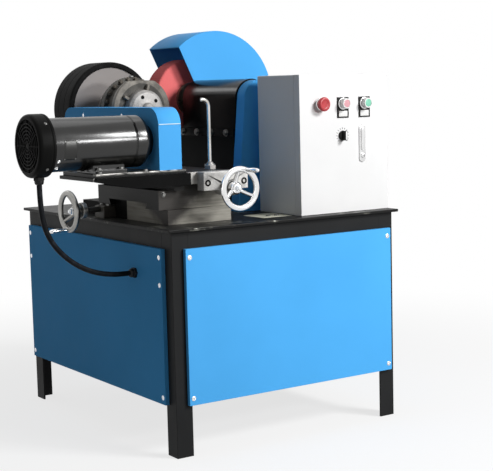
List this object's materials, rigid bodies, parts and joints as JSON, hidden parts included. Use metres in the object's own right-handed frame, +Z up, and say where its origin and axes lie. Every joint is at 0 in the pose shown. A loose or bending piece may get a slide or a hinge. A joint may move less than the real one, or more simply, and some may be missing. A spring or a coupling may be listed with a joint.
{
  "type": "pipe polishing machine",
  "caption": "Centreless pipe polishing machine: guarded red wheel and rubber guide wheel on cross slides, motor and control cabinet on a blue panelled angle iron stand.",
  "frame": {"origin": "on the floor under the middle of the machine's box, free cable left out", "axes": "+Z up, -Y towards the operator who faces the control cabinet, +X to that operator's right"},
  "size_m": [1.077, 0.9822, 1.147],
  "materials": {
    "black_frame": "satin black paint on angle iron",
    "black_plate": "satin black paint, worn at the edges",
    "blue_panel": "semi-gloss blue paint on sheet steel",
    "blue_cover": "semi-gloss blue paint on sheet steel",
    "white_cabinet": "fine textured light grey powder coat",
    "machined_steel": "machined, lightly oiled",
    "black_slide": "black paint on cast iron",
    "cast_gearbox": "dark grey casting",
    "cast_cover": "cast grey metal",
    "black_motor": "gloss black paint",
    "black_rubber": "matt black rubber",
    "grey_disc": "painted grey disc",
    "red_wheel": "dense red nylon web",
    "bright_handwheel": "plated, polished",
    "steel_rod": "drawn steel",
    "red_button": "gloss",
    "pink_button": "gloss",
    "green_button": "gloss",
    "black_plastic": "matt",
    "lock_metal": "satin chrome",
    "black_cable": "matt jacket"
  },
  "bodies": {
    "base": {"leg_front_left": "black_frame", "leg_front_right": "black_frame", "leg_back_left": "black_frame", "leg_back_right": "black_frame", "top_rails": "black_frame", "lower_rails": "black_frame", "front_panel": "blue_panel", "back_panel": "blue_panel", "left_panel": "blue_panel", "right_panel": "blue_panel", "top_plate": "black_plate", "cabinet_body": "white_cabinet", "spindle_housing": "black_slide", "spindle_pedestal": "black_slide", "spindle_belt_cover": "blue_cover", "wheel_guard": "blue_cover", "guard_post": "black_frame", "slide_base": "machined_steel", "slide_rear_base": "black_slide", "feed_bracket": "cast_gearbox", "panel_gland": "black_plastic"},
    "door": {"cabinet_door": "white_cabinet", "button_collars": "lock_metal", "legend_plates": "black_plastic", "door_lock": "lock_metal"},
    "stop_head": {"emergency_stop": "red_button"},
    "off_head": {"off_button": "pink_button"},
    "on_head": {"on_button": "green_button"},
    "selector": {"selector_switch": "black_plastic"},
    "spindle": {"polishing_wheel": "red_wheel", "wheel_spindle": "machined_steel"},
    "saddle": {"saddle": "black_slide", "motor_cable": "black_cable"},
    "table": {"top_table": "machined_steel", "table_skirt": "black_slide", "motor_plate": "black_plate", "guide_belt_cover": "blue_cover", "motor_body": "black_motor", "fan_cowl": "black_motor", "motor_foot": "black_motor", "gearbox": "cast_gearbox", "gearbox_cover": "cast_cover", "cross_bracket": "machined_steel", "pipe_rest": "steel_rod", "motor_gland": "black_plastic"},
    "guide_wheel": {"guide_tyre": "black_rubber", "guide_disc": "grey_disc"},
    "feed_wheel": {"feed_handwheel": "bright_handwheel", "feed_grip": "bright_handwheel", "feed_screw": "machined_steel"},
    "cross_wheel": {"cross_handwheel": "bright_handwheel", "cross_grip": "bright_handwheel", "cross_screw": "machined_steel"}
  },
  "joints": [
    {"name": "polishing_wheel_spin", "type": "hinge", "parent": "base", "child": "spindle", "pos_m": [0.2525, 0.25215, 0.935], "axis": [0, 1, 0], "continuous": true},
    {"name": "feed_handwheel_turn", "type": "hinge", "parent": "base", "child": "feed_wheel", "pos_m": [-0.3005, 0.01715, 0.633], "axis": [1, 0, 0], "range_deg": [-4320, 0]},
    {"name": "carriage_feed", "type": "slide", "parent": "base", "child": "saddle", "axis": [1, 0, 0], "range_m": [-0.06, 0]},
    {"name": "table_traverse", "type": "slide", "parent": "saddle", "child": "table", "axis": [0, 1, 0], "range_m": [-0.02, 0.02], "deforming": ["motor_cable"]},
    {"name": "cross_handwheel_turn", "type": "hinge", "parent": "table", "child": "cross_wheel", "pos_m": [-0.0125, -0.42485, 0.703], "axis": [0, 1, 0], "range_deg": [-1440, 1440]},
    {"name": "guide_wheel_spin", "type": "hinge", "parent": "table", "child": "guide_wheel", "pos_m": [-0.0295, 0.24915, 0.911], "axis": [0, 1, 0], "continuous": true},
    {"name": "cabinet_door_swing", "type": "hinge", "parent": "base", "child": "door", "pos_m": [0.2215, -0.35045, 0.608], "axis": [0, 0, -1], "range_deg": [0, 110]},
    {"name": "emergency_stop_press", "type": "slide", "parent": "door", "child": "stop_head", "axis": [0, 1, 0], "range_m": [0, 0.004]},
    {"name": "off_button_press", "type": "slide", "parent": "door", "child": "off_head", "axis": [0, 1, 0], "range_m": [0, 0.004], "stiffness_N_per_m": 800},
    {"name": "on_button_press", "type": "slide", "parent": "door", "child": "on_head", "axis": [0, 1, 0], "range_m": [0, 0.004], "stiffness_N_per_m": 800},
    {"name": "selector_turn", "type": "hinge", "parent": "door", "child": "selector", "pos_m": [0.3695, -0.37685, 0.826], "axis": [0, 1, 0], "range_deg": [-45, 45]}
  ],
  "couplings": [
    {"joint": "carriage_feed", "follows": "feed_handwheel_turn", "m_per_rad": 0.00079577},
    {"joint": "table_traverse", "follows": "cross_handwheel_turn", "m_per_rad": 0.00079577}
  ]
}
